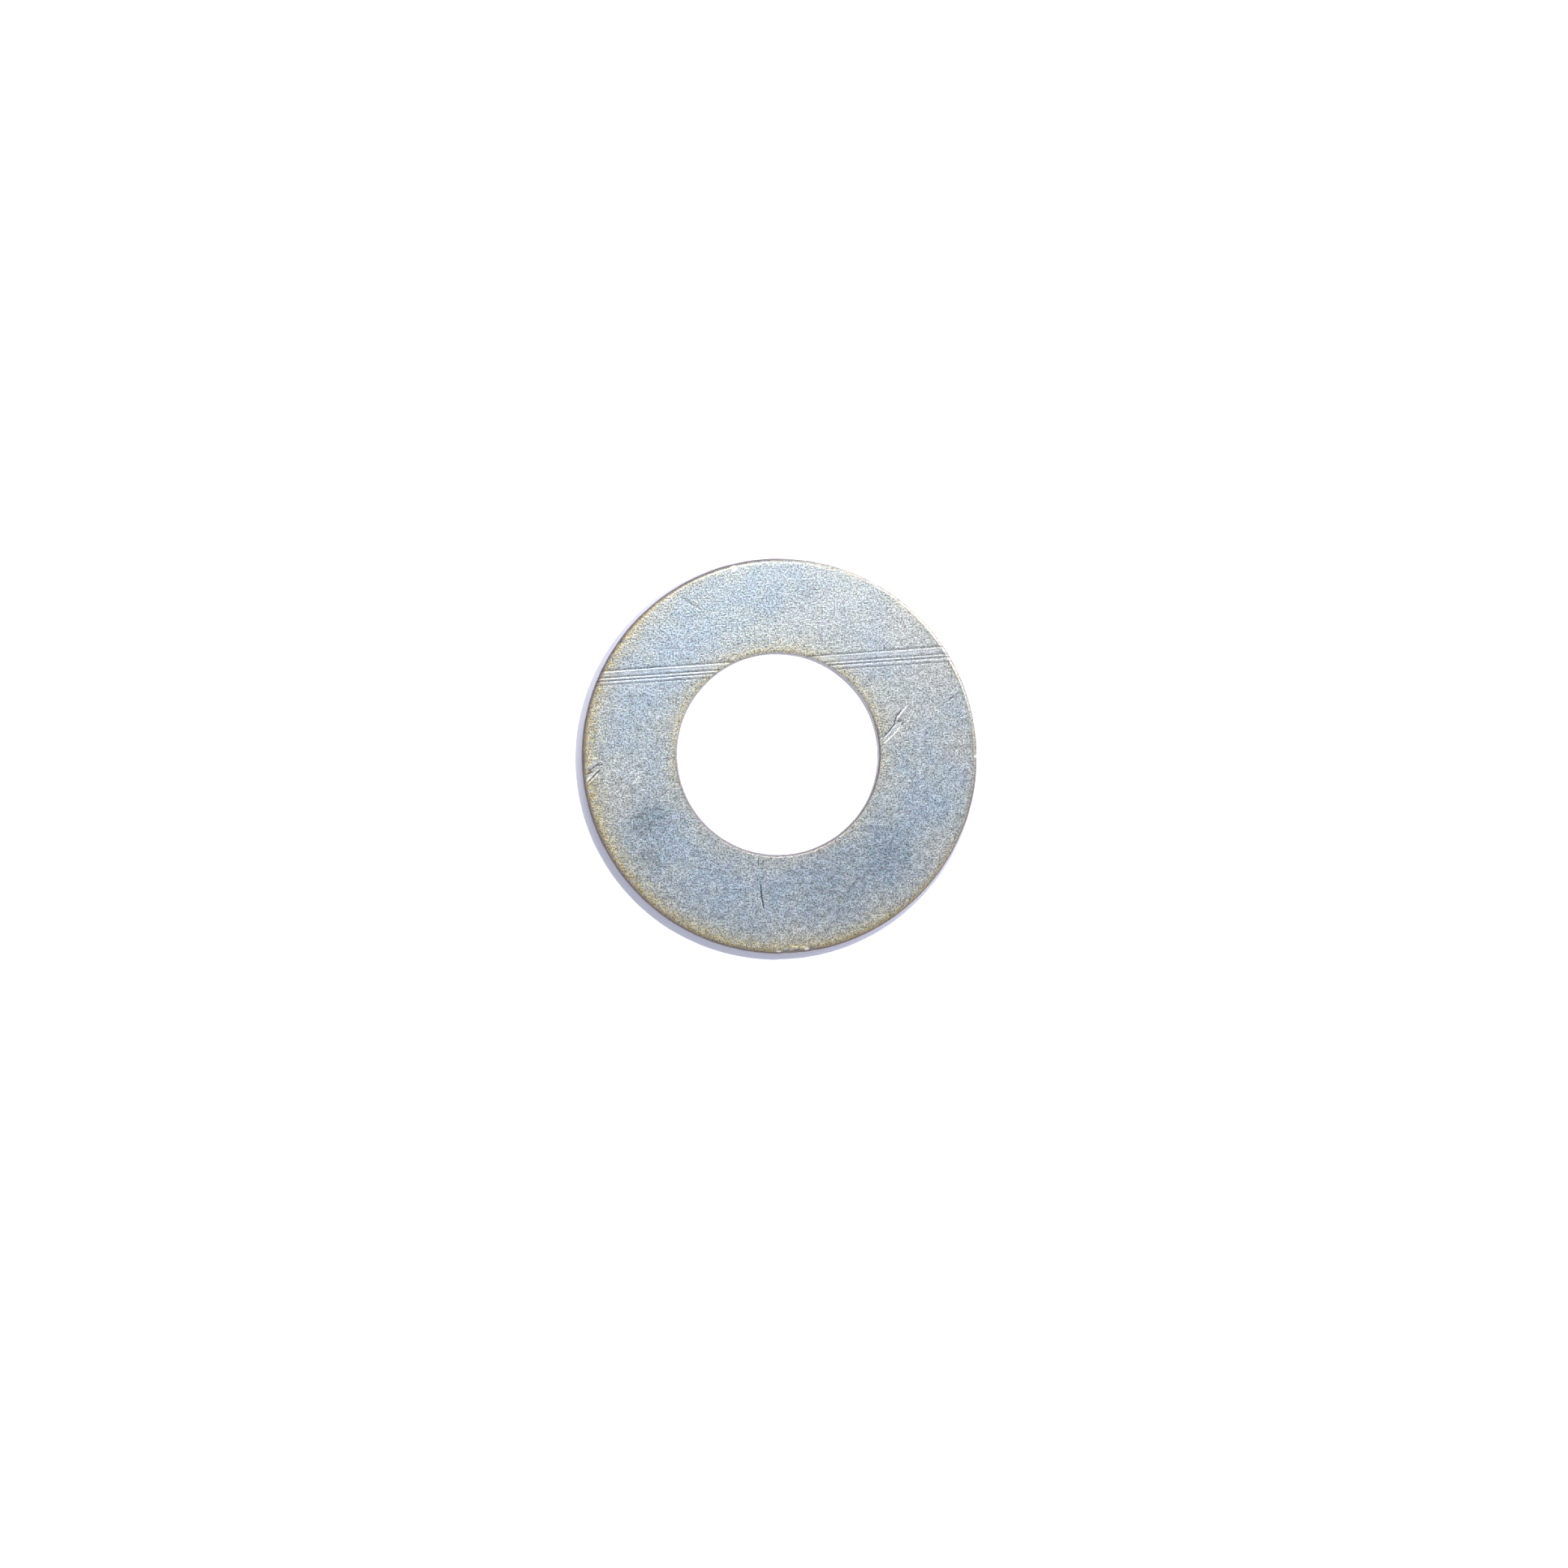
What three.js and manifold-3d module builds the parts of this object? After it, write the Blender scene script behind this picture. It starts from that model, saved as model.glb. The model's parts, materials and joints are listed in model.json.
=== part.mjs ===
// A plain flat washer for a 10 mm screw: one piece of zinc-plated steel, pierced and then blanked from
// strip in a press. The two cuts break out on opposite faces.
// Millimetres, +Z up. The origin is on the axis of the outside diameter, in the lower face.

import * as THREE from 'three';
import { mergeVertices } from 'three/addons/utils/BufferGeometryUtils.js';
import Module from 'manifold-3d';

const wasm = await Module();
wasm.setup();

// Driving dimensions.
const outsideDiameter = 21;
const boreDiameter = 10.7;
const thickness = 2;
const boreOffset = new THREE.Vector2(-0.08, 0.11); // the punch ran a little off the blank's axis

// What the press leaves on a cut edge, from the face where the cut started to the face where it broke
// out: a shoulder that the tool drew in, a straight burnished land, and a torn wall that leans back.
// The outside was cut from the upper face down and the bore from the lower face up.
const shoulderDepth = 0.09 * thickness;
const outsideShoulderWidth = 0.22;
const boreShoulderWidth = 0.18;
const tearHeight = 0.45 * thickness; // how much of the wall is torn
const tearLean = 0.05;
const tumbledEdge = 0.05; // barrel tumbling takes the burr off and leaves this radius

// How finely the round surfaces are divided.
const stepsAround = 96;
const shoulderSteps = 5;
const tumbledSteps = 2;

// How far the bore's cutter stands past each face.
const cutterOverrun = 1;

// The outline of a wall cut from the upper face down to the lower one, as points of radius and
// height. outward is 1 where the steel lies inside the wall and -1 where it lies round it.
function cutWall(landRadius, shoulderWidth, outward) {
  const shoulder = new THREE.EllipseCurve(
    landRadius - outward * shoulderWidth,
    thickness - shoulderDepth,
    shoulderWidth,
    shoulderDepth,
    Math.PI / 2,
    outward > 0 ? 0 : Math.PI,
    outward > 0,
  );
  const tornRadius = landRadius - outward * tearLean;
  const tumbled = new THREE.EllipseCurve(
    tornRadius - outward * tumbledEdge,
    tumbledEdge,
    tumbledEdge,
    tumbledEdge,
    outward > 0 ? 0 : Math.PI,
    outward > 0 ? -Math.PI / 2 : (3 * Math.PI) / 2,
    outward > 0,
  );
  return [
    ...shoulder.getPoints(shoulderSteps),
    new THREE.Vector2(landRadius, tearHeight),
    ...tumbled.getPoints(tumbledSteps),
  ];
}

// The same outline turned over, for a wall cut from the lower face up. It still runs from the top down.
function turnOver(outline) {
  return outline.map((point) => new THREE.Vector2(point.x, thickness - point.y)).reverse();
}

// Turns an outline that starts and ends on the axis into a solid standing along +Z. The outline runs
// from the top down.
function turn(outline) {
  const lathe = new THREE.LatheGeometry(outline.toReversed(), stepsAround);
  lathe.rotateX(Math.PI / 2);
  return lathe;
}

function toSolid(geometry) {
  const bare = geometry.clone();
  bare.deleteAttribute('normal');
  bare.deleteAttribute('uv');
  const merged = mergeVertices(bare);
  const corners = merged.index.array;
  const triVerts = [];
  for (let i = 0; i < corners.length; i += 3) {
    const [a, b, c] = corners.subarray(i, i + 3);
    // A turned outline has triangles of no area where it meets the axis.
    if (a !== b && b !== c && c !== a) triVerts.push(a, b, c);
  }
  return new wasm.Manifold(
    new wasm.Mesh({
      numProp: 3,
      vertProperties: merged.attributes.position.array,
      triVerts: new Uint32Array(triVerts),
    }),
  );
}

function toGeometry(solid) {
  const mesh = solid.getMesh();
  const geometry = new THREE.BufferGeometry();
  geometry.setAttribute('position', new THREE.BufferAttribute(mesh.vertProperties, mesh.numProp));
  geometry.setIndex(new THREE.BufferAttribute(mesh.triVerts, 1));
  geometry.computeVertexNormals();
  return geometry;
}

// The blank is the full disc with its cut outside edge.
function blank() {
  return turn([
    new THREE.Vector2(0, thickness),
    ...cutWall(outsideDiameter / 2, outsideShoulderWidth, 1),
    new THREE.Vector2(0, 0),
  ]);
}

// The cutter fills the bore, its drawn-in shoulder and its torn wall, and overruns both faces.
function boreCutter() {
  const wall = turnOver(cutWall(boreDiameter / 2, boreShoulderWidth, -1));
  const topRadius = wall.at(0).x;
  const bottomRadius = wall.at(-1).x;
  const cutter = turn([
    new THREE.Vector2(0, thickness + cutterOverrun),
    new THREE.Vector2(topRadius, thickness + cutterOverrun),
    ...wall,
    new THREE.Vector2(bottomRadius, -cutterOverrun),
    new THREE.Vector2(0, -cutterOverrun),
  ]);
  cutter.translate(boreOffset.x, boreOffset.y, 0);
  return cutter;
}

function washer() {
  const zincPlate = new THREE.MeshStandardMaterial({ color: 0xb9c1cb, roughness: 0.42, metalness: 1 });
  const mesh = new THREE.Mesh(toGeometry(toSolid(blank()).subtract(toSolid(boreCutter()))), zincPlate);
  mesh.name = 'washer';
  return mesh;
}

const part = new THREE.Group();
part.add(washer());

export default part;
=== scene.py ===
"""The looks of a zinc-plated flat washer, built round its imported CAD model.

The ring is rebuilt as one fine mesh with the press's shoulders, burnished land and torn wall, and with
the drag lines, gouges, scratches and nicks of its faces cut into it. Lengths are in millimetres, and
become metres where Blender gets them.
"""

import json
import math
from dataclasses import dataclass

import bmesh
import bpy
import numpy as np
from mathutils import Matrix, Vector, noise


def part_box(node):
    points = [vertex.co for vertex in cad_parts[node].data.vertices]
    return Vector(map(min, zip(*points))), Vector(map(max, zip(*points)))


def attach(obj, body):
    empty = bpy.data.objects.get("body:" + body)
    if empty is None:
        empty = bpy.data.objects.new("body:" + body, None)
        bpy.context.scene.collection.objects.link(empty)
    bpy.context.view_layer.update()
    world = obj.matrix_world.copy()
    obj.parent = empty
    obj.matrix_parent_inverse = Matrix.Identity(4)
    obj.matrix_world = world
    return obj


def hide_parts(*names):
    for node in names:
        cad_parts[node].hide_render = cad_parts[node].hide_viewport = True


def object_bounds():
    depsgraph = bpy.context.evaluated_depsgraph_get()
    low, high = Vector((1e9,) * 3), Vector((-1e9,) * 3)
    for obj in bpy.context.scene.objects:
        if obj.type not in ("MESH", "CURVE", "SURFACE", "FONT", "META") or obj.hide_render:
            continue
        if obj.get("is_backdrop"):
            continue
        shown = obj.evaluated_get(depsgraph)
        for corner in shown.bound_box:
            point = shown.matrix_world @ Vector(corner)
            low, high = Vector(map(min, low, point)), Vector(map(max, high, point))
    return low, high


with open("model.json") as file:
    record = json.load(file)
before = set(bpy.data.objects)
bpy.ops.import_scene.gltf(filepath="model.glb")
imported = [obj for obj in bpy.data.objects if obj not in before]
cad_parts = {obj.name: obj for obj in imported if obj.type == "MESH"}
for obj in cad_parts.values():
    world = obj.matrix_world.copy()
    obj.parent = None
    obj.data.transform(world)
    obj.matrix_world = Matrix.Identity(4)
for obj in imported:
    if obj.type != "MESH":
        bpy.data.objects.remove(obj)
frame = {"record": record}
cad_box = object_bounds()

MM = 0.001
NODE = "washer"

# ---------------------------------------------------------------- sizes, from the frame

low_corner, high_corner = (np.array(corner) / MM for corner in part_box(NODE))
OUTSIDE_RADIUS = (high_corner - low_corner)[0] / 2
THICKNESS = (high_corner - low_corner)[2]

# The screw's opening is boxed round the bore's axis, which lies a little off the washer's own.
bore_box = np.array(frame["record"]["physics"]["openings"][0]["box_m"]) / MM
BORE_CENTRE = bore_box.mean(axis=0)[:2]


def cad_bore_radius():
    """The smallest distance from the bore's axis to a corner of the CAD ring."""
    corners = np.array([v.co[:2] for v in bpy.data.objects[NODE].data.vertices]) / MM
    return np.linalg.norm(corners - BORE_CENTRE, axis=1).min()


BORE_RADIUS = cad_bore_radius()

# The section of the cut edges, as the CAD ring has it. The outside was cut from the upper face down and
# the bore from the lower face up, so each wall is torn near the other face.
SHOULDER_DEPTH = 0.09 * THICKNESS
OUTSIDE_SHOULDER = 0.22
BORE_SHOULDER = 0.18
TEAR_HEIGHT = 0.45 * THICKNESS
TEAR_LEAN = 0.05
TUMBLED_EDGE = 0.05

# How finely the ring is divided, before the marks are refined.
AROUND = 540
ACROSS_TOP = 42
ACROSS_BOTTOM = 24
SHOULDER_ROWS = 9
LAND_ROWS = 10
TORN_ROWS = 10
TUMBLED_ROWS = 3


# ---------------------------------------------------------------- the plain ring


def quarter(rows, start):
    """Shares of a quarter ellipse's two half-axes, from start to 90 degrees on, leaving out its end."""
    for row in range(rows):
        angle = start + math.pi / 2 * row / rows
        yield math.cos(angle), math.sin(angle)


def cut_wall(land_radius, shoulder, outward):
    """Radius and height down a wall that was cut from the upper face to the lower one."""
    rows = []
    for side, up in quarter(SHOULDER_ROWS, 0):
        rows.append((land_radius - outward * shoulder * (1 - up), THICKNESS - SHOULDER_DEPTH * (1 - side)))
    shoulder_foot = THICKNESS - SHOULDER_DEPTH
    for row in range(LAND_ROWS):
        rows.append((land_radius, shoulder_foot + (TEAR_HEIGHT - shoulder_foot) * row / LAND_ROWS))
    torn_radius = land_radius - outward * TEAR_LEAN
    for row in range(TORN_ROWS):
        share = row / TORN_ROWS
        rows.append((land_radius + (torn_radius - land_radius) * share,
                     TEAR_HEIGHT + (TUMBLED_EDGE - TEAR_HEIGHT) * share))
    for side, down in quarter(TUMBLED_ROWS + 1, 0):
        rows.append((torn_radius - outward * TUMBLED_EDGE * (1 - side), TUMBLED_EDGE * (1 - down)))
    return rows


def ring_rows():
    """The closed section as rows of (share of the way from bore to outside, bore radius, outside radius,
    height). A row on a flat face runs between the bore's circle and the outside's, which differ a little
    in centre."""
    outside = cut_wall(OUTSIDE_RADIUS, OUTSIDE_SHOULDER, 1)
    bore = [(radius, THICKNESS - height) for radius, height in cut_wall(BORE_RADIUS, BORE_SHOULDER, -1)]
    bore_bottom, bore_top = bore[0][0], bore[-1][0]
    outside_top, outside_bottom = outside[0][0], outside[-1][0]
    rows = [(0, radius, 0, height) for radius, height in bore]
    rows += [(step / ACROSS_TOP, bore_top, outside_top, THICKNESS) for step in range(1, ACROSS_TOP)]
    rows += [(1, 0, radius, height) for radius, height in outside]
    rows += [(1 - step / ACROSS_BOTTOM, bore_bottom, outside_bottom, 0) for step in range(1, ACROSS_BOTTOM)]
    return rows


def plain_ring():
    """The ring without its wear, as a bmesh in millimetres."""
    angles = np.linspace(0, 2 * math.pi, AROUND, endpoint=False)
    spokes = np.stack([np.cos(angles), np.sin(angles)], axis=1)
    mesh = bmesh.new()
    rings = []
    for share, bore_radius, outside_radius, height in ring_rows():
        places = (1 - share) * (BORE_CENTRE + bore_radius * spokes) + share * outside_radius * spokes
        rings.append([mesh.verts.new((x, y, height)) for x, y in places])
    for ring, following in zip(rings, rings[1:] + rings[:1]):
        for i in range(AROUND):
            j = (i + 1) % AROUND
            mesh.faces.new((ring[i], following[i], following[j], ring[j]))
    return mesh


# ---------------------------------------------------------------- wear, as marks on a face


@dataclass
class Mark:
    """A line ploughed into a face. Its path is in outside radii from the washer's centre, seen from above;
    widths and depths are in millimetres, and a negative depth is a ridge of raised metal.

    polish: how far it smears the plating's grain. Then how dark its floor is painted, which is painted
    shade in the furrow, and how bright, which is partly bare scraped metal and partly a painted highlight.
    taper: how far from its ends it fades in."""

    path: tuple
    width: float
    depth: float
    lip: float = 0.0
    polish: float = 0.0
    furrow_shade: float = 0.0
    bare: float = 0.0
    taper: float = 0.3

    def measure(self, places):
        """How far each place is from the path, and a share that rises from 0 at the path's ends to 1 past
        the taper."""
        nearest = np.full(len(places), np.inf)
        along = np.zeros(len(places))
        corners = np.array(self.path) * OUTSIDE_RADIUS
        lengths = np.linalg.norm(np.diff(corners, axis=0), axis=1)
        before = 0.0
        for start, end, length in zip(corners, corners[1:], lengths):
            way = (end - start) / length
            reached = np.clip((places - start) @ way, 0, length)
            distance = np.linalg.norm(places - start - reached[:, None] * way, axis=1)
            closer = distance < nearest
            nearest = np.where(closer, distance, nearest)
            along = np.where(closer, before + reached, along)
            before += length
        to_end = np.minimum(along, lengths.sum() - along)
        fade = np.clip(to_end / self.taper, 0, 1) if self.taper else np.ones(len(places))
        return nearest, fade * fade * (3 - 2 * fade)


DRAG_LINE = dict(taper=0.0)
UPPER_MARKS = [
    # Four lines that one drag left right across the face, and the lands between them.
    Mark(((-1.02, 0.403), (1.02, 0.552)), 0.32, 0.004, polish=0.38, **DRAG_LINE),
    Mark(((-1.02, 0.376), (1.02, 0.522)), 0.10, -0.002, polish=0.5, **DRAG_LINE),
    Mark(((-1.02, 0.360), (1.02, 0.501)), 0.14, 0.002, polish=0.35, **DRAG_LINE),
    Mark(((-1.02, 0.420), (-0.25, 0.475), (0.15, 0.504), (1.02, 0.570)), 0.09, 0.019, 0.002, furrow_shade=0.65,
         **DRAG_LINE),
    Mark(((-1.02, 0.385), (1.02, 0.530)), 0.08, 0.013, 0.001, furrow_shade=0.65, **DRAG_LINE),
    Mark(((-1.02, 0.368), (1.02, 0.515)), 0.08, 0.014, 0.001, furrow_shade=0.7, **DRAG_LINE),
    Mark(((-1.02, 0.350), (1.02, 0.490)), 0.08, 0.010, 0.001, furrow_shade=0.55, **DRAG_LINE),
    Mark(((0.527, 0.543), (0.541, 0.547)), 0.12, 0.020, furrow_shade=0.9, taper=0.05),
    # The gouge that runs out of the bore.
    Mark(((0.515, 0.074), (0.560, 0.122), (0.603, 0.174)), 0.22, 0.006, polish=0.5, taper=0.12),
    Mark(((0.520, 0.088), (0.553, 0.123), (0.582, 0.161), (0.585, 0.180), (0.592, 0.200), (0.622, 0.238)),
         0.10, 0.032, 0.004, furrow_shade=0.9, taper=0.10),
    Mark(((0.530, 0.060), (0.579, 0.106), (0.614, 0.146)), 0.08, -0.010, polish=0.6, bare=0.6, taper=0.12),
    Mark(((0.599, 0.190), (0.624, 0.220), (0.646, 0.252)), 0.08, -0.012, polish=0.6, bare=0.6, taper=0.08),
    Mark(((0.598, 0.170), (0.624, 0.181)), 0.24, 0.024, furrow_shade=0.6, taper=0.04),
    Mark(((0.615, 0.156), (0.630, 0.168)), 0.12, 0.020, furrow_shade=0.9, taper=0.04),
    Mark(((0.648, 0.254), (0.687, 0.298)), 0.07, -0.006, bare=0.4, taper=0.25),
    # The gouge at the rim, on the left.
    Mark(((-0.985, -0.120), (-0.912, -0.055)), 0.30, 0.014, polish=0.5, taper=0.12),
    Mark(((-0.980, -0.070), (-0.925, -0.034)), 0.24, -0.005, polish=0.4, taper=0.15),
    Mark(((-0.976, -0.094), (-0.944, -0.078)), 0.13, 0.018, furrow_shade=0.8, taper=0.06),
    Mark(((-0.966, -0.077), (-0.925, -0.046), (-0.888, -0.045)), 0.08, 0.013, furrow_shade=0.9, taper=0.08),
    Mark(((-0.971, -0.136), (-0.905, -0.068)), 0.10, 0.012, furrow_shade=0.9, taper=0.08),
    Mark(((-0.977, -0.130), (-0.911, -0.062)), 0.07, -0.012, polish=0.6, bare=1.0, taper=0.08),
    Mark(((-0.966, -0.141), (-0.918, -0.092)), 0.07, -0.012, polish=0.6, bare=1.0, taper=0.08),
    Mark(((-0.963, -0.012), (-0.918, -0.017)), 0.06, -0.010, bare=0.8, taper=0.06),
    Mark(((-0.921, -0.026), (-0.884, -0.037)), 0.06, -0.008, bare=0.5, taper=0.06),
    # Thin scratches.
    Mark(((-0.104, -0.510), (-0.108, -0.565)), 0.09, 0.018, 0.002, furrow_shade=0.8, taper=0.2),
    Mark(((-0.095, -0.635), (-0.089, -0.710), (-0.076, -0.778)), 0.11, 0.022, 0.003, furrow_shade=1.0, taper=0.2),
    Mark(((-0.746, -0.148), (-0.706, -0.102)), 0.09, -0.010, polish=0.7, bare=0.6, taper=0.2),
    Mark(((-0.796, -0.142), (-0.731, -0.073)), 0.08, -0.006, polish=0.6, bare=0.1, taper=0.3),
    Mark(((-0.607, -0.211), (-0.580, -0.190), (-0.553, -0.160)), 0.08, 0.014, furrow_shade=0.6, taper=0.3),
    Mark(((0.852, 0.276), (0.882, 0.306)), 0.07, 0.014, furrow_shade=0.8, taper=0.1),
    Mark(((0.451, 0.379), (0.472, 0.393)), 0.08, 0.014, furrow_shade=0.6, taper=0.1),
    Mark(((-0.676, -0.098), (-0.668, -0.092)), 0.10, 0.020, furrow_shade=0.8, taper=0.03),
    Mark(((-0.489, 0.796), (-0.393, 0.741)), 0.07, 0.014, furrow_shade=0.6, taper=0.3),
    # The bruised lip above the chip in the rim, at the bottom.
    Mark(((-0.016, -0.988), (0.012, -0.986)), 0.11, -0.012, bare=0.9, taper=0.08),
    Mark(((0.022, -0.976), (0.046, -0.972)), 0.11, -0.010, bare=0.9, taper=0.05),
    Mark(((0.058, -0.973), (0.100, -0.968)), 0.12, -0.008, bare=0.7, taper=0.10),
    Mark(((0.122, -0.967), (0.152, -0.972)), 0.12, -0.010, bare=0.9, taper=0.05),
]

drag_start, drag_end = UPPER_MARKS[0].path
DRAG_ANGLE = math.atan2(drag_end[1] - drag_start[1], drag_end[0] - drag_start[0])


@dataclass
class Nick:
    """A bruise on the outer rim: where it is, in outside radii, its size along the rim and across it in
    millimetres, and how deep it goes."""

    place: tuple
    length: float
    reach: float
    depth: float
    brown: float = 0.0
    bare: float = 0.0

    def measure(self, places):
        """How deep in the nick each place is, from 0 outside it to 1 at its middle."""
        spot = np.array(self.place) * OUTSIDE_RADIUS
        out = spot / np.linalg.norm(spot)
        across = (places - spot) @ out
        beside = (places - spot) @ np.array((-out[1], out[0]))
        inside = np.clip(1 - (across / self.reach) ** 2 - (2 * beside / self.length) ** 2, 0, 1)
        return np.sqrt(inside)


RIM_NICKS = [
    Nick((0.034, -0.992), 0.60, 0.24, 0.030, brown=0.7),
    Nick((0.086, -0.990), 0.75, 0.20, 0.024, brown=0.8),
    Nick((0.165, -0.979), 0.75, 0.18, 0.018, brown=0.6),
    Nick((0.140, -0.972), 0.25, 0.10, 0.010, bare=0.9),
    Nick((-0.997, -0.020), 2.0, 0.14, 0.004, brown=0.9),
    Nick((0.994, 0.003), 0.16, 0.12, 0.020, bare=0.8),
    Nick((-0.231, 0.954), 0.22, 0.16, 0.030, bare=0.9),
    Nick((-0.800, 0.580), 0.25, 0.12, 0.025, brown=0.9),
]

LOWER_MARKS = [
    Mark(((0.55, -0.60), (0.80, -0.20)), 0.15, 0.022, 0.003, furrow_shade=0.7),
    Mark(((-0.72, 0.10), (-0.60, 0.52)), 0.13, 0.016, 0.002, furrow_shade=0.5),
    Mark(((-0.30, -0.90), (0.12, -0.74)), 0.16, 0.010, polish=0.6),
    Mark(((0.20, 0.62), (0.46, 0.70)), 0.13, 0.014, furrow_shade=0.4),
]

# Soft patches in the plating of the upper face: place and reach in outside radii, and strength.
BLUE_PATCHES = [
    ((-0.48, 0.62), 0.20, 0.8), ((-0.72, 0.33), 0.20, 0.7), ((0.00, 0.87), 0.14, 0.7),
    ((-0.62, -0.38), 0.14, 1.0), ((-0.32, -0.70), 0.20, 0.8), ((0.05, -0.70), 0.20, 0.4),
    ((0.33, -0.68), 0.18, 0.6), ((0.56, -0.50), 0.15, 0.9), ((0.78, -0.22), 0.12, 0.5),
]
DARK_PATCHES = [
    ((0.55, -0.49), 0.14, 0.8), ((0.30, -0.67), 0.18, 0.6), ((-0.71, -0.345), 0.06, 1.0),
    ((-0.62, -0.30), 0.07, 1.0), ((-0.70, -0.31), 0.025, 1.0), ((-0.66, -0.29), 0.025, 0.9),
    ((-0.65, -0.51), 0.07, 0.8), ((0.15, 0.84), 0.06, 0.5), ((-0.10, 0.80), 0.32, 0.25),
    ((-0.72, 0.68), 0.13, 0.35), ((-0.46, 0.87), 0.13, 0.35), ((-0.90, 0.42), 0.10, 0.3),
]
WARM_PATCHES = [
    ((0.66, 0.70), 0.20, 0.7), ((0.93, 0.05), 0.10, 0.9), ((0.20, 0.70), 0.20, 0.5),
    ((0.60, 0.20), 0.15, 0.7), ((0.80, 0.42), 0.16, 0.8), ((-0.82, -0.20), 0.14, 0.7),
    ((0.82, -0.48), 0.12, 0.8), ((0.52, -0.82), 0.12, 0.8), ((0.10, -0.93), 0.10, 0.7),
]

# How far from a mark the mesh is divided more finely, once for each of these.
REFINED_WITHIN = (0.10, 0.03)

# The width of a mark's raised lip, as a share of half the mark's own.
LIP_WIDTH = 0.35

# Ways in the face, seen from above: where the plating is yellowest along the outside and round the
# bore, and where the bore's edge is painted brownest, partly its own brown and partly painted shade on the
# side away from the light.
YELLOWEST_WAY = np.array((-0.70, -0.71))
YELLOWEST_BORE_WAY = np.array((-0.10, 0.99))
BROWN_SHADE_BORE_WAY = np.array((0.20, -0.98))


def near_marks(places, marks, margin):
    """Which places are within margin of the edge of a mark."""
    near = np.zeros(len(places), bool)
    for mark in marks:
        distance, _ = mark.measure(places)
        near |= distance < mark.width / 2 + margin
    return near


def refine(mesh):
    """Divides the faces near the marks, so that the marks can have their own shape."""
    for margin in REFINED_WITHIN:
        faces = list(mesh.faces)
        middles = np.array([face.calc_center_median() for face in faces])
        level = np.array([face.normal.z for face in faces])
        chosen = (level > 0.5) & near_marks(middles[:, :2], UPPER_MARKS, margin)
        chosen |= (level < -0.5) & near_marks(middles[:, :2], LOWER_MARKS, margin)
        edges = {edge for i in np.flatnonzero(chosen) for edge in faces[i].edges}
        bmesh.ops.subdivide_edges(mesh, edges=list(edges), cuts=1, use_grid_fill=True)
        mesh.normal_update()


def smoothstep(low, high, values):
    share = np.clip((values - low) / (high - low), 0, 1)
    return share * share * (3 - 2 * share)


def noise_at(places, per_mm, offset=0.0):
    """Smooth noise between -1 and 1, at each place, with about per_mm swells to the millimetre."""
    scaled = np.asarray(places) * per_mm + offset
    return np.array([noise.noise(Vector(place)) for place in scaled])


def patches_at(places, patches):
    """How deep in soft round patches each place is, up to 1."""
    depth = np.zeros(len(places))
    for spot, reach, strength in patches:
        distance = np.linalg.norm(places / OUTSIDE_RADIUS - spot, axis=1) / reach
        depth += strength * np.exp(-distance * distance)
    return np.minimum(depth, 1)


def passivation(flat, from_bore, from_outside):
    """How yellow the plating is: most along the outside edge on the lower left and above the bore."""
    facing = flat / np.linalg.norm(flat, axis=1)[:, None]
    strength = 0.25 + 0.75 * smoothstep(-0.75, 0.75, facing @ YELLOWEST_WAY)
    inward = np.maximum(from_outside, 0)
    rim = 1.75 * np.exp(-inward / (0.18 + 0.30 * strength))
    haze = 0.2 * np.exp(-inward / 1.6)
    bore_strength = 0.5 + 0.5 * smoothstep(-0.6, 0.5, facing @ YELLOWEST_BORE_WAY)
    bore = bore_strength * np.exp(-np.maximum(from_bore, 0) / 0.60)
    return np.clip(np.maximum(strength * (rim + haze), bore), 0, 1)


def at_upper_edge(height):
    """1 above the foot of the outer shoulder, and 0 from a little below it."""
    shoulder_foot = THICKNESS - SHOULDER_DEPTH
    return smoothstep(shoulder_foot - 0.12, shoulder_foot, height)


def brown_and_painted_shade(flat, from_bore, from_outside, height):
    """How brown the edges are painted, partly the plating's own brown and partly painted shade on the sides
    away from the light: on the steepest part of the outer shoulder, all round but for the upper right,
    which faces the light, and at the upper end of the bore's wall, mostly at the bottom."""
    facing = flat / np.linalg.norm(flat, axis=1)[:, None]
    yellow_side = facing @ YELLOWEST_WAY
    reach = 0.10 + 0.07 * smoothstep(-0.2, 0.6, yellow_side)
    outside = 1 - smoothstep(0.03, reach, from_outside)
    outside *= smoothstep(-0.85, -0.50, yellow_side)
    outside *= at_upper_edge(height)
    bore = 1 - smoothstep(0.07, 0.15, from_bore)
    bore *= smoothstep(-0.6, 0.1, facing @ BROWN_SHADE_BORE_WAY)
    bore *= smoothstep(THICKNESS - SHOULDER_DEPTH - 0.15, THICKNESS - SHOULDER_DEPTH, height)
    return np.maximum(outside, bore)


def unevenness(places, wall):
    """The faces aren't quite flat, and the cut edges aren't quite round."""
    faces = 0.0035 * noise_at(places, 1.3) + 0.008 * noise_at(places, 0.35, 7.0)
    return faces + wall * 0.010 * noise_at(places, 1.1, 3.0)


def torn_share(places, wall, to_break):
    """Past the burnished land the wall is torn, along an uneven line."""
    around = places * (1, 1, 0)
    tear_line = TEAR_HEIGHT + 0.22 * noise_at(around, 0.7, 11.0) + 0.12 * noise_at(around, 3.0, 19.0)
    return wall * smoothstep(0.0, 0.08, tear_line - to_break)


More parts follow.
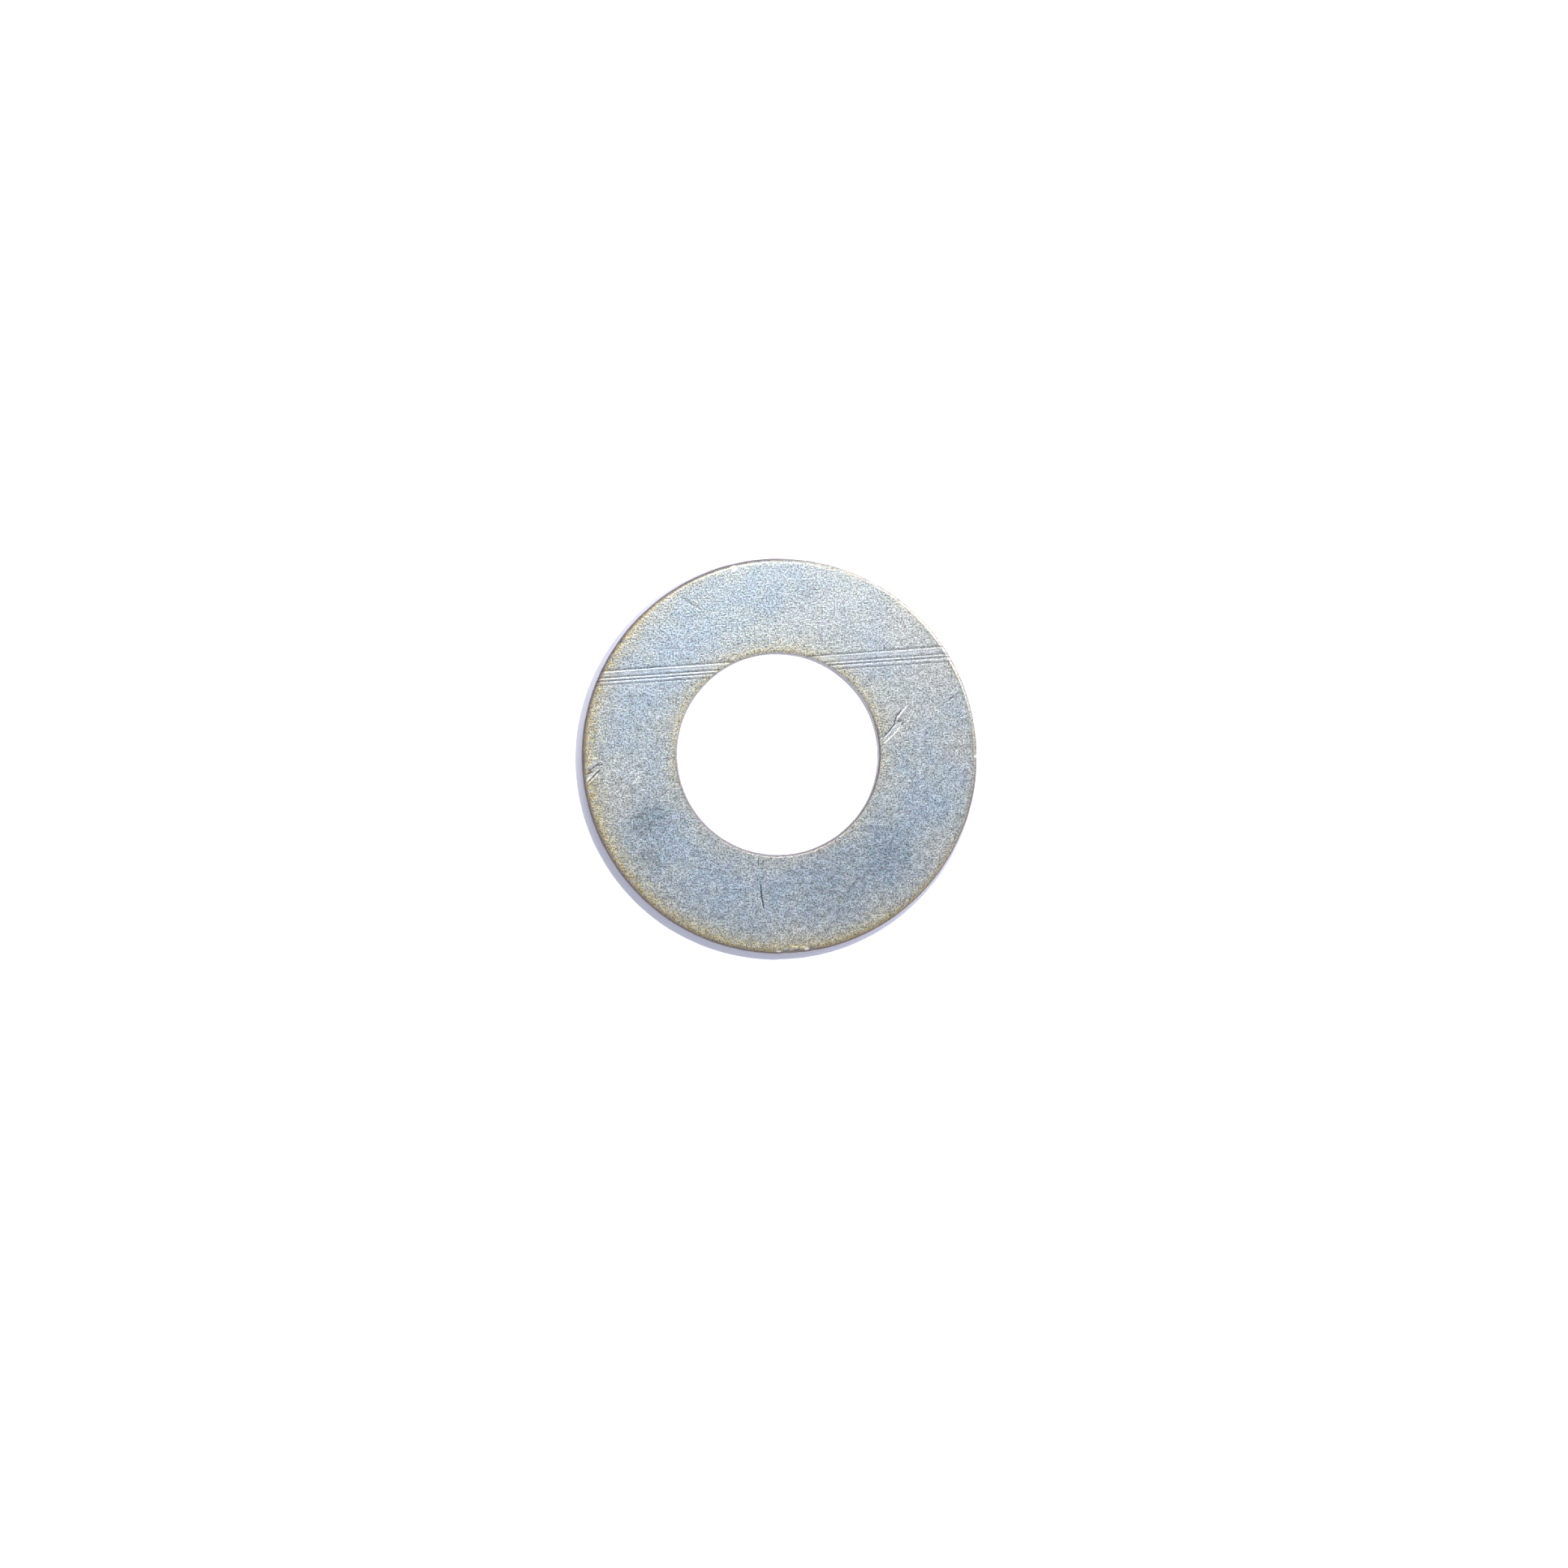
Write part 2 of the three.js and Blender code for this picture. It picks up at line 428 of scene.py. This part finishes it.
def plough(offset, masks, flat, marks, side):
    """Cuts marks into a face, where side is 1, and adds them to the masks."""
    for mark in marks:
        distance, fade = mark.measure(flat)
        share = distance / (mark.width / 2)
        floor = np.clip(1 - share, 0, 1) * fade * side
        beyond = (share - 1 - LIP_WIDTH) / LIP_WIDTH
        offset -= mark.depth * floor
        offset += mark.lip * np.exp(-beyond * beyond) * fade * side
        body = smoothstep(0.0, 0.5, floor)
        masks["polish"] = np.maximum(masks["polish"], mark.polish * smoothstep(0.0, 0.25, floor))
        masks["furrow_shade"] = np.maximum(masks["furrow_shade"], mark.furrow_shade * body)
        masks["bare"] = np.maximum(masks["bare"], mark.bare * body)


def bruise(offset, masks, flat, height):
    """Cuts the nicks into the outer rim's upper edge, and adds them to the masks."""
    for nick in RIM_NICKS:
        inside = nick.measure(flat) * at_upper_edge(height)
        offset -= nick.depth * inside
        masks["brown"] = np.maximum(masks["brown"], nick.brown * inside)
        masks["bare"] = np.maximum(masks["bare"], nick.bare * inside)
        masks["polish"] = np.maximum(masks["polish"], 0.7 * inside)


def wear(places, normals):
    """How far each point of the ring moves along its normal, and the masks its material reads."""
    flat = places[:, :2]
    height = places[:, 2]
    from_bore = np.linalg.norm(flat - BORE_CENTRE, axis=1) - BORE_RADIUS
    from_outside = OUTSIDE_RADIUS - np.linalg.norm(flat, axis=1)
    at_bore = from_bore < from_outside
    to_break = np.where(at_bore, THICKNESS - height, height)
    down_shoulder = np.where(at_bore, from_bore / BORE_SHOULDER, from_outside / OUTSIDE_SHOULDER)

    upper = smoothstep(0.15, 0.6, normals[:, 2])
    lower = smoothstep(0.15, 0.6, -normals[:, 2])
    wall = 1 - np.maximum(upper, lower)
    torn = torn_share(places, wall, to_break)
    masks = {
        "polish": np.zeros(len(places)),
        "furrow_shade": np.zeros(len(places)),
        "bare": np.zeros(len(places)),
        "yellow": passivation(flat, from_bore, from_outside) * (1 - 0.75 * wall),
        "brown": brown_and_painted_shade(flat, from_bore, from_outside, height),
        "drawn": (1 - smoothstep(0.6, 1.15, down_shoulder)) * smoothstep(0.7, 1.1, to_break),
        "blue": upper * patches_at(flat, BLUE_PATCHES),
        "dark": upper * patches_at(flat, DARK_PATCHES),
        "warm": upper * patches_at(flat, WARM_PATCHES),
        "torn": torn,
        "land": wall * (1 - torn),
    }

    tearing = noise_at(places * (1, 1, 0.45), 5.0, 5.0) + 0.6 * noise_at(places, 9.0, 2.0)
    offset = unevenness(places, wall) + torn * (0.020 * tearing - 0.012)
    plough(offset, masks, flat, UPPER_MARKS, upper)
    plough(offset, masks, flat, LOWER_MARKS, lower)
    bruise(offset, masks, flat, height)
    return offset, masks


def worn_ring():
    """The washer's mesh object, with its wear and the masks that its material reads."""
    mesh = plain_ring()
    refine(mesh)
    data = bpy.data.meshes.new("zinc_washer")
    mesh.to_mesh(data)
    mesh.free()
    places = np.empty(len(data.vertices) * 3)
    data.vertices.foreach_get("co", places)
    places = places.reshape(-1, 3)
    normals = np.empty(len(data.vertices) * 3)
    data.vertex_normals.foreach_get("vector", normals)
    normals = normals.reshape(-1, 3)
    offset, masks = wear(places, normals)
    places += offset[:, None] * normals
    places[:, 2] = np.maximum(places[:, 2], 0)  # the spots that the washer stands on
    data.vertices.foreach_set("co", (places * MM).ravel())
    for name, values in masks.items():
        data.attributes.new(name, "FLOAT", "POINT").data.foreach_set("value", values)
    data.shade_smooth()
    data.update()
    washer = bpy.data.objects.new("zinc_washer", data)
    bpy.context.scene.collection.objects.link(washer)
    return washer


# ---------------------------------------------------------------- materials


class Nodes:
    """A node tree of a material or a world."""

    def __init__(self, tree):
        self.tree = tree

    def add(self, kind, inputs=None, **settings):
        node = self.tree.nodes.new(kind)
        for setting, value in settings.items():
            setattr(node, setting, value)
        for socket, value in (inputs or {}).items():
            if isinstance(value, bpy.types.NodeSocket):
                self.tree.links.new(value, node.inputs[socket])
            else:
                node.inputs[socket].default_value = value
        return node

    def attribute(self, name):
        return self.add("ShaderNodeAttribute", attribute_name=name).outputs["Fac"]

    def noise(self, vector, per_mm, detail=2.0, roughness=0.5, distortion=0.0, output="Fac"):
        inputs = {"Vector": vector, "Scale": per_mm, "Detail": detail, "Roughness": roughness,
                  "Distortion": distortion}
        return self.add("ShaderNodeTexNoise", inputs).outputs[output]

    def math(self, operation, first, second, clamp=False):
        inputs = {0: first, 1: second}
        return self.add("ShaderNodeMath", inputs, operation=operation, use_clamp=clamp).outputs[0]

    def times(self, first, *others):
        """The product of two or more values."""
        for other in others:
            first = self.math("MULTIPLY", first, other)
        return first

    def plus(self, first, second):
        return self.math("ADD", first, second)

    def span(self, value, low, high, new_low=0.0, new_high=1.0):
        inputs = {"Value": value, "From Min": low, "From Max": high, "To Min": new_low, "To Max": new_high}
        return self.add("ShaderNodeMapRange", inputs, interpolation_type="SMOOTHSTEP").outputs[0]

    def mix_value(self, factor, first, second):
        return self.add("ShaderNodeMix", {0: factor, 2: first, 3: second}, data_type="FLOAT").outputs[0]

    def mix(self, factor, first, second, blend="MIX"):
        inputs = {0: factor, 6: first, 7: second}
        return self.add("ShaderNodeMix", inputs, data_type="RGBA", blend_type=blend).outputs[2]

    def shade(self, colour, value):
        """The colour made darker or lighter by a value."""
        grey = self.add("ShaderNodeCombineColor", {0: value, 1: value, 2: value}).outputs[0]
        return self.mix(1.0, colour, grey, "MULTIPLY")

    def lobe(self, way, towards, low, high, outside, inside):
        """A value that goes from outside to inside as way turns towards a direction. low and high are
        the cosines between which it does so."""
        inputs = {0: way, 1: towards}
        turned = self.add("ShaderNodeVectorMath", inputs, operation="DOT_PRODUCT").outputs["Value"]
        return self.span(turned, low, high, outside, inside)

    def offset(self, place, by):
        """The same place moved, so that a second noise doesn't follow the first."""
        return self.add("ShaderNodeVectorMath", {0: place, 1: (by, by, by)}, operation="ADD").outputs[0]

    def stretch(self, place, by):
        return self.add("ShaderNodeVectorMath", {0: place, 1: by}, operation="MULTIPLY").outputs[0]

    def drawn_out(self, place, angle, share):
        """The place shrunk along a direction in the face, so that a noise there has streaks that way."""
        inputs = {"Vector": place, "Angle": -angle}
        turned = self.add("ShaderNodeVectorRotate", inputs, rotation_type="Z_AXIS").outputs[0]
        return self.stretch(turned, (share, 1, 1))

    def millimetres(self, shares=(1, 1, 1)):
        """The place on the piece, in millimetres, each axis shrunk to its share."""
        place = self.add("ShaderNodeTexCoord").outputs["Object"]
        return self.stretch(place, tuple(share / MM for share in shares))


def new_material(name):
    """A material with a Principled shader, the tree to build on and the shader."""
    material = bpy.data.materials.new(name)
    material.use_nodes = True
    return material, Nodes(material.node_tree), material.node_tree.nodes["Principled BSDF"]


# How fine the plating's grain is, and how high it and the other fine relief stand, in millimetres.
GRAIN_PER_MM = 12.5
GRAIN_RELIEF = 0.011
DRAG_RELIEF = 0.020
STREAK_RELIEF = 0.025
TORN_RELIEF = 0.09

ZINC = (0.69, 0.75, 0.74, 1)
BLUE_ZINC = (0.545, 0.65, 0.765, 1)
DARK_ZINC = (0.25, 0.31, 0.36, 1)
WARM_ZINC = (0.79, 0.77, 0.71, 1)
SMEARED_ZINC = (0.60, 0.65, 0.73, 1)
LAND_ZINC = (0.34, 0.345, 0.34, 1)
TORN_ZINC = (0.28, 0.27, 0.26, 1)
PIT_ZINC = (0.13, 0.12, 0.11, 1)
YELLOW_PASSIVATE = (0.76, 0.65, 0.37, 1)
# Partly a warmer tint of the die-rolled shoulder and partly painted shade that damps the metal lamp's
# highlight there.
SHOULDER_TINT_AND_SHADE = (0.66, 0.61, 0.55, 1)
# Partly the plating's brown and partly painted shade: the edges on the sides that face away from the light.
BROWN_AND_PAINTED_SHADE = (0.16, 0.13, 0.13, 1)
# Painted shade: the dark floors of the furrows, gouges and scratches, where shade falls in them.
FURROW_SHADE = (0.07, 0.07, 0.09, 1)
# Partly bare scraped metal and partly painted highlight: the bright ridges and lips of the marks and nicks.
BARE_METAL_AND_GLINT = (0.98, 0.94, 0.80, 1)
FLOOR_PAINT = (0.87, 0.87, 0.96, 1)


def face_colour(n, place, grain):
    """The faces' zinc in its tints, from the widest patches down to the hollows of the grain."""
    clouds = n.noise(place, 0.9, detail=4.0, roughness=0.65)
    colour = n.mix(n.span(clouds, 0.38, 0.62, 0.15, 0.75), ZINC, BLUE_ZINC)
    patchy = n.span(clouds, 0.28, 0.58, 0.45, 1.0)
    mottled = n.span(n.noise(place, 4.5, detail=4.0, roughness=0.75), 0.40, 0.60, 0.10, 1.0)
    for mask, tint, spread, most in (("blue", BLUE_ZINC, patchy, 0.9), ("warm", WARM_ZINC, patchy, 0.8),
                                     ("dark", DARK_ZINC, mottled, 0.85)):
        colour = n.mix(n.times(n.attribute(mask), spread, most), colour, tint)
    speckle = n.noise(n.offset(place, 17.0), 4.0, detail=3.0, roughness=0.65)
    yellow = n.times(n.attribute("yellow"), n.span(speckle, 0.33, 0.62, 0.48, 1.0))
    colour = n.mix(yellow, colour, YELLOW_PASSIVATE)

    # Small spots have a faint tint of their own, and the grain's hollows are darkened and its crests
    # lightened, partly the plating's own darker pits and partly painted shade and highlight of the grain's
    # relief.
    tints = n.noise(n.offset(place, 31.0), 5.5, detail=1.0, output="Color")
    colour = n.mix(0.18, colour, tints, "OVERLAY")
    return n.shade(colour, n.span(grain, 0.34, 0.64, 0.39, 1.24))


def wall_colour(n, streaks, tearing, torn):
    """The cut walls' zinc: finely streaked on the burnished land, and dull and pitted where it tore."""
    burnished = n.shade(LAND_ZINC, n.span(streaks, 0.35, 0.65, 0.72, 1.1))
    ragged = n.mix(n.span(tearing, 0.30, 0.62), PIT_ZINC, TORN_ZINC)
    return n.mix(torn, burnished, ragged)


def zinc_plate():
    """Zinc plating on tumbled steel: a fine peened grain, cloudy blue and grey, yellowed at the edges."""
    material, n, shader = new_material("zinc_plate")
    place = n.millimetres()
    polish, drawn, torn, land = (n.attribute(name) for name in ("polish", "drawn", "torn", "land"))
    wall = n.math("ADD", torn, land, clamp=True)

    # The plating's grain, which marks and cuts smooth away, and what they leave in its place.
    smooth = n.math("MAXIMUM", n.times(polish, 0.85), n.times(drawn, 0.4))
    smooth = n.math("MAXIMUM", smooth, wall)
    grain = n.noise(place, GRAIN_PER_MM, detail=1.5, roughness=0.6, distortion=0.4)
    grain = n.mix_value(smooth, grain, 0.5)
    drag = n.noise(n.drawn_out(place, DRAG_ANGLE, 0.06), 6.0, detail=3.0, roughness=0.6)
    streaks = n.noise(n.millimetres((1, 1, 0.05)), 7.0, detail=4.0, roughness=0.65)
    tearing = n.noise(n.millimetres((1, 1, 0.5)), 5.0, detail=4.0, roughness=0.7)

    smeared = n.shade(SMEARED_ZINC, n.span(drag, 0.32, 0.66, 0.72, 1.12))
    colour = n.mix(n.times(polish, 0.75), face_colour(n, place, grain), smeared)
    # The shoulder darkened: painted shade over the lamp's highlight, with a warm tint of its own.
    colour = n.mix(drawn, colour, SHOULDER_TINT_AND_SHADE, "MULTIPLY")
    colour = n.mix(wall, colour, wall_colour(n, streaks, tearing, torn))
    # Laid on last: brown edges that are partly painted shade, dark furrow floors that are painted shade,
    # and bright ridges that are partly painted highlight.
    for mask, tint in (("brown", BROWN_AND_PAINTED_SHADE), ("furrow_shade", FURROW_SHADE), ("bare", BARE_METAL_AND_GLINT)):
        colour = n.mix(n.attribute(mask), colour, tint)

    roughness = n.span(n.noise(place, 3.0, detail=4.0), 0.3, 0.7, 0.30, 0.42)
    roughness = n.mix_value(drawn, roughness, 0.29)
    roughness = n.mix_value(wall, roughness, n.mix_value(torn, 0.27, 0.50))

    relief = n.times(grain, GRAIN_RELIEF)
    relief = n.plus(relief, n.times(drag, DRAG_RELIEF, polish))
    relief = n.plus(relief, n.times(streaks, STREAK_RELIEF, land))
    relief = n.plus(relief, n.times(tearing, TORN_RELIEF, torn))
    bump = n.add("ShaderNodeBump", {"Height": relief, "Distance": MM, "Strength": 1.0})

    shader.inputs["Metallic"].default_value = 1.0
    n.tree.links.new(colour, shader.inputs["Base Color"])
    n.tree.links.new(roughness, shader.inputs["Roughness"])
    n.tree.links.new(bump.outputs[0], shader.inputs["Normal"])
    return material


def plain_floor_paint():
    material, _, shader = new_material("floor_paint")
    shader.inputs["Base Color"].default_value = FLOOR_PAINT
    shader.inputs["Roughness"].default_value = 0.9
    shader.inputs["Specular IOR Level"].default_value = 0.1
    return material


# ---------------------------------------------------------------- the stage

# The studio's light: the lamps' places and sizes in millimetres and powers in watts, and levels against
# a white of 1.
FLOOR_LAMP = dict(place=(8.5, 7.2, 95), size=1.5, power=0.078, colour=(1.0, 0.98, 0.95))
METAL_LAMP = dict(place=(-6, 37, 85), size=22, power=0.0170, colour=(1.0, 0.98, 0.94))
SURROUND = 1.06
OVERHEAD = 0.26
HORIZON = 0.5
SIDE_BOX = 2.4
UP = (0.0, 0.0, 1.0)
SIDE_WAY = (0.62, 0.62, 0.48)
SIDE_BOX_WAY = (0.60, 0.63, 0.49)
SURROUND_COLOUR = (0.94, 0.975, 1.09, 1)
BACKDROP = (1, 1, 1, 1)


def floor():
    """A plain pale floor under the washer, wide enough to pass for endless."""
    half = 150 * 2 * OUTSIDE_RADIUS * MM
    mesh = bmesh.new()
    bmesh.ops.create_grid(mesh, x_segments=2, y_segments=2, size=half)
    data = bpy.data.meshes.new("floor")
    mesh.to_mesh(data)
    mesh.free()
    data.materials.append(plain_floor_paint())
    sheet = bpy.data.objects.new("floor", data)
    bpy.context.scene.collection.objects.link(sheet)
    sheet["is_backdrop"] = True


def aim(thing, target):
    way = Vector(target) - thing.location
    thing.rotation_euler = way.to_track_quat("-Z", "Y").to_euler()


def camera():
    """Straight above the washer, which lies a little above the frame's middle."""
    data = bpy.data.cameras.new("camera")
    data.lens = 200
    data.sensor_width = 36
    data.clip_start = 0.005
    eye = bpy.data.objects.new("camera", data)
    bpy.context.scene.collection.objects.link(eye)
    frame_width = 7.93 * OUTSIDE_RADIUS
    aside, below = 0.0244 * OUTSIDE_RADIUS, -0.1405 * OUTSIDE_RADIUS
    away = frame_width * data.lens / data.sensor_width
    eye.location = Vector((aside, below, THICKNESS + away)) * MM
    bpy.context.scene.camera = eye


def lamp(name, place, size, power, colour):
    """A round soft lamp, place and size in millimetres, that shines at the washer."""
    data = bpy.data.lights.new(name, "AREA")
    data.shape = "DISK"
    data.size = size * MM
    data.energy = power
    data.color = colour
    light = bpy.data.objects.new(name, data)
    light.location = Vector(place) * MM
    aim(light, (0, 0, 0))
    light.visible_camera = False
    bpy.context.scene.collection.objects.link(light)
    return light


def lights():
    """A soft white surround that is darker overhead and bright at the upper right, a lamp for the floor
    and a lamp for the metal."""
    lamp("floor_lamp", **FLOOR_LAMP).visible_glossy = False
    lamp("metal_lamp", **METAL_LAMP)

    world = bpy.data.worlds.new("studio")
    world.use_nodes = True
    n = Nodes(world.node_tree)
    way = n.add("ShaderNodeTexCoord").outputs["Generated"]
    overhead = n.lobe(way, UP, 0.80, 1.0, SURROUND, OVERHEAD)
    low = n.lobe(way, UP, 0.0, 0.55, HORIZON, 1.0)
    side = n.lobe(way, SIDE_WAY, -0.6, 0.9, 0.75, 1.2)
    side_box = n.lobe(way, SIDE_BOX_WAY, 0.80, 0.95, 0.0, SIDE_BOX)
    light = n.plus(n.times(overhead, low, side), side_box)
    seen = n.add("ShaderNodeLightPath").outputs["Is Camera Ray"]
    background = n.tree.nodes["Background"]
    n.tree.links.new(n.mix(seen, SURROUND_COLOUR, BACKDROP), background.inputs["Color"])
    n.tree.links.new(n.mix_value(seen, light, 1.0), background.inputs["Strength"])
    bpy.context.scene.world = world


def build():
    washer = worn_ring()
    washer.data.materials.append(zinc_plate())
    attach(washer, "root")
    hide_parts(NODE)
    floor()
    camera()
    lights()
    bpy.context.scene.view_settings.view_transform = "Standard"


build()
sizes = {"cad": cad_box, "visual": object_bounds()}
sizes = {name: [[float(value) for value in corner] for corner in box] for name, box in sizes.items()}
